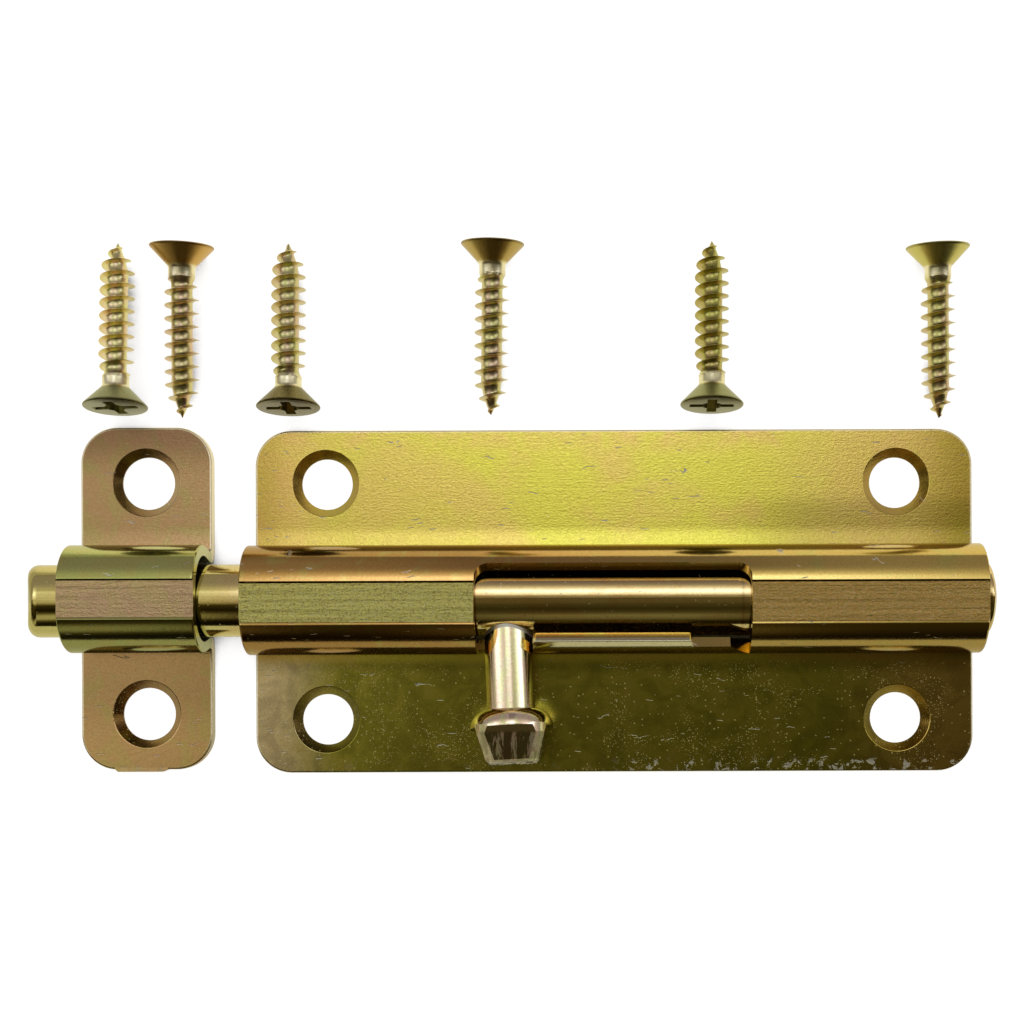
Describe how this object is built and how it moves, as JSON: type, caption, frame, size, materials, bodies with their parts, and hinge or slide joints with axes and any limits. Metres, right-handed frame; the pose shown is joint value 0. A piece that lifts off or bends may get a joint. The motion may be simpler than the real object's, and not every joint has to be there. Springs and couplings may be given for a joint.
{
  "type": "barrel bolt latch",
  "caption": "Surface-mounted barrel bolt: a round rod runs through an arched stamped housing into a matching keeper and is locked by a turning stud; loose countersunk wood screws.",
  "frame": {"origin": "centre of the housing's four screw holes, on the back face that lies against the door", "axes": "+X along the bolt, from the keeper towards the housing's free end; +Z away from the door; +Y across the plate, away from the resting handle"},
  "size_m": [0.1064, 0.0594, 0.0105],
  "materials": {
    "housing_zinc": "yellow zinc plate",
    "keeper_zinc": "yellow zinc plate",
    "rod_zinc": "yellow zinc plate, smooth",
    "stud_zinc": "yellow zinc plate, smooth",
    "screw_zinc": "yellow zinc plate"
  },
  "bodies": {
    "housing": {"housing_plate": "housing_zinc", "keeper": "keeper_zinc", "screw_1": "screw_zinc", "screw_2": "screw_zinc", "screw_3": "screw_zinc", "screw_4": "screw_zinc", "screw_5": "screw_zinc", "screw_6": "screw_zinc"},
    "bolt": {"bolt_rod": "rod_zinc"},
    "handle": {"handle_stud": "stud_zinc"}
  },
  "joints": [
    {"name": "bolt_slide", "type": "slide", "parent": "housing", "child": "bolt", "axis": [-1, 0, 0], "range_m": [0, 0.0007]},
    {"name": "handle_turn", "type": "hinge", "parent": "bolt", "child": "handle", "pos_m": [-0.01154, 0, 0.0041], "axis": [-1, 0, 0], "range_deg": [0, 88]}
  ]
}
